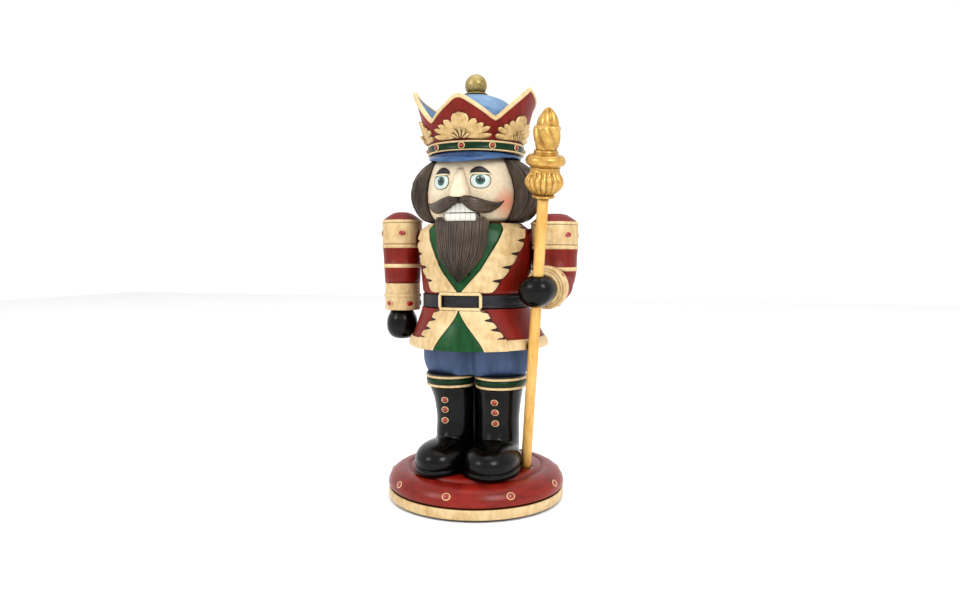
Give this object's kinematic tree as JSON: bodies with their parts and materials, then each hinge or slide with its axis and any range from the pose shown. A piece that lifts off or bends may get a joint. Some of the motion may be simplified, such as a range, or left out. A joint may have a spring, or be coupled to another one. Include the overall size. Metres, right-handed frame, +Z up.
{
  "type": "nutcracker figure",
  "caption": "Standing crowned nutcracker figure holding a staff, with a lever-worked jaw and a round jewelled base.",
  "frame": {"origin": "centre of the base's underside, on the surface it stands on", "axes": "+Z up; the figure faces -Y; +X is the side with the staff"},
  "size_m": [0.1734, 0.15, 0.356],
  "materials": {
    "red_paint": "hand-painted brick red, satin, dark wash in the recesses",
    "gold_paint": "hand-painted cream gold, satin, slightly pearly",
    "green_paint": "hand-painted bottle green, satin",
    "blue_paint": "hand-painted cap blue, satin",
    "trouser_paint": "hand-painted slate blue, satin",
    "black_paint": "hand-painted black, semi-gloss",
    "hair_paint": "carved and dry-brushed dark brown",
    "skin_paint": "hand-painted ivory with rosy cheeks, satin",
    "white_paint": "white paint with grey tooth lines",
    "jewel_paint": "small red domed beads, gloss",
    "staff_paint": "gold-painted dowel and turned head, satin metallic",
    "bare_wood": "unpainted dowel",
    "steel": "bright pin",
    "felt": "thin felt pad"
  },
  "bodies": {
    "root": {"base_felt": "felt", "base_plinth": "gold_paint", "base_top": "red_paint", "base_jewel_1": "jewel_paint", "base_jewel_2": "jewel_paint", "base_jewel_3": "jewel_paint", "base_jewel_4": "jewel_paint", "base_jewel_5": "jewel_paint", "base_jewel_6": "jewel_paint", "base_jewel_7": "jewel_paint", "base_jewel_8": "jewel_paint", "base_jewel_9": "jewel_paint", "boot_left": "black_paint", "boot_right": "black_paint", "boot_cuff_left": "green_paint", "boot_cuff_right": "green_paint", "boot_button_left_1": "jewel_paint", "boot_button_left_2": "jewel_paint", "boot_button_left_3": "jewel_paint", "boot_button_right_1": "jewel_paint", "boot_button_right_2": "jewel_paint", "boot_button_right_3": "jewel_paint", "leg_dowel_left": "bare_wood", "leg_dowel_right": "bare_wood", "trousers": "trouser_paint", "coat_skirt": "red_paint", "hem_trim": "gold_paint", "apron": "green_paint", "skirt_lapel_left": "gold_paint", "skirt_lapel_right": "gold_paint", "belt": "black_paint", "buckle": "gold_paint", "coat_body": "red_paint", "vest": "green_paint", "lapel_left": "gold_paint", "lapel_right": "gold_paint", "head": "skin_paint", "nose": "skin_paint", "moustache": "hair_paint", "upper_teeth": "white_paint", "hair": "hair_paint", "cap_brim": "blue_paint", "cap_band": "green_paint", "crown_wall": "red_paint", "cap_dome": "blue_paint", "finial": "staff_paint", "sleeve_left": "red_paint", "sleeve_right": "red_paint", "cuff_left": "gold_paint", "cuff_right": "gold_paint", "glove_left": "black_paint", "glove_right": "black_paint", "arm_dowel_left": "bare_wood", "arm_dowel_right": "bare_wood", "jaw_pin": "steel"},
    "jaw": {"jaw_lever": "red_paint", "beard": "hair_paint"},
    "staff": {"staff_shaft": "staff_paint", "staff_head": "staff_paint"}
  },
  "joints": [
    {"name": "jaw_hinge", "type": "hinge", "parent": "root", "child": "jaw", "pos_m": [0, -0.002, 0.185], "axis": [1, 0, 0], "range_deg": [0, 8]},
    {"name": "staff_lift", "type": "slide", "parent": "root", "child": "staff", "axis": [0.1046, -0.2081, 0.9725], "range_m": [0, 0.18]}
  ]
}
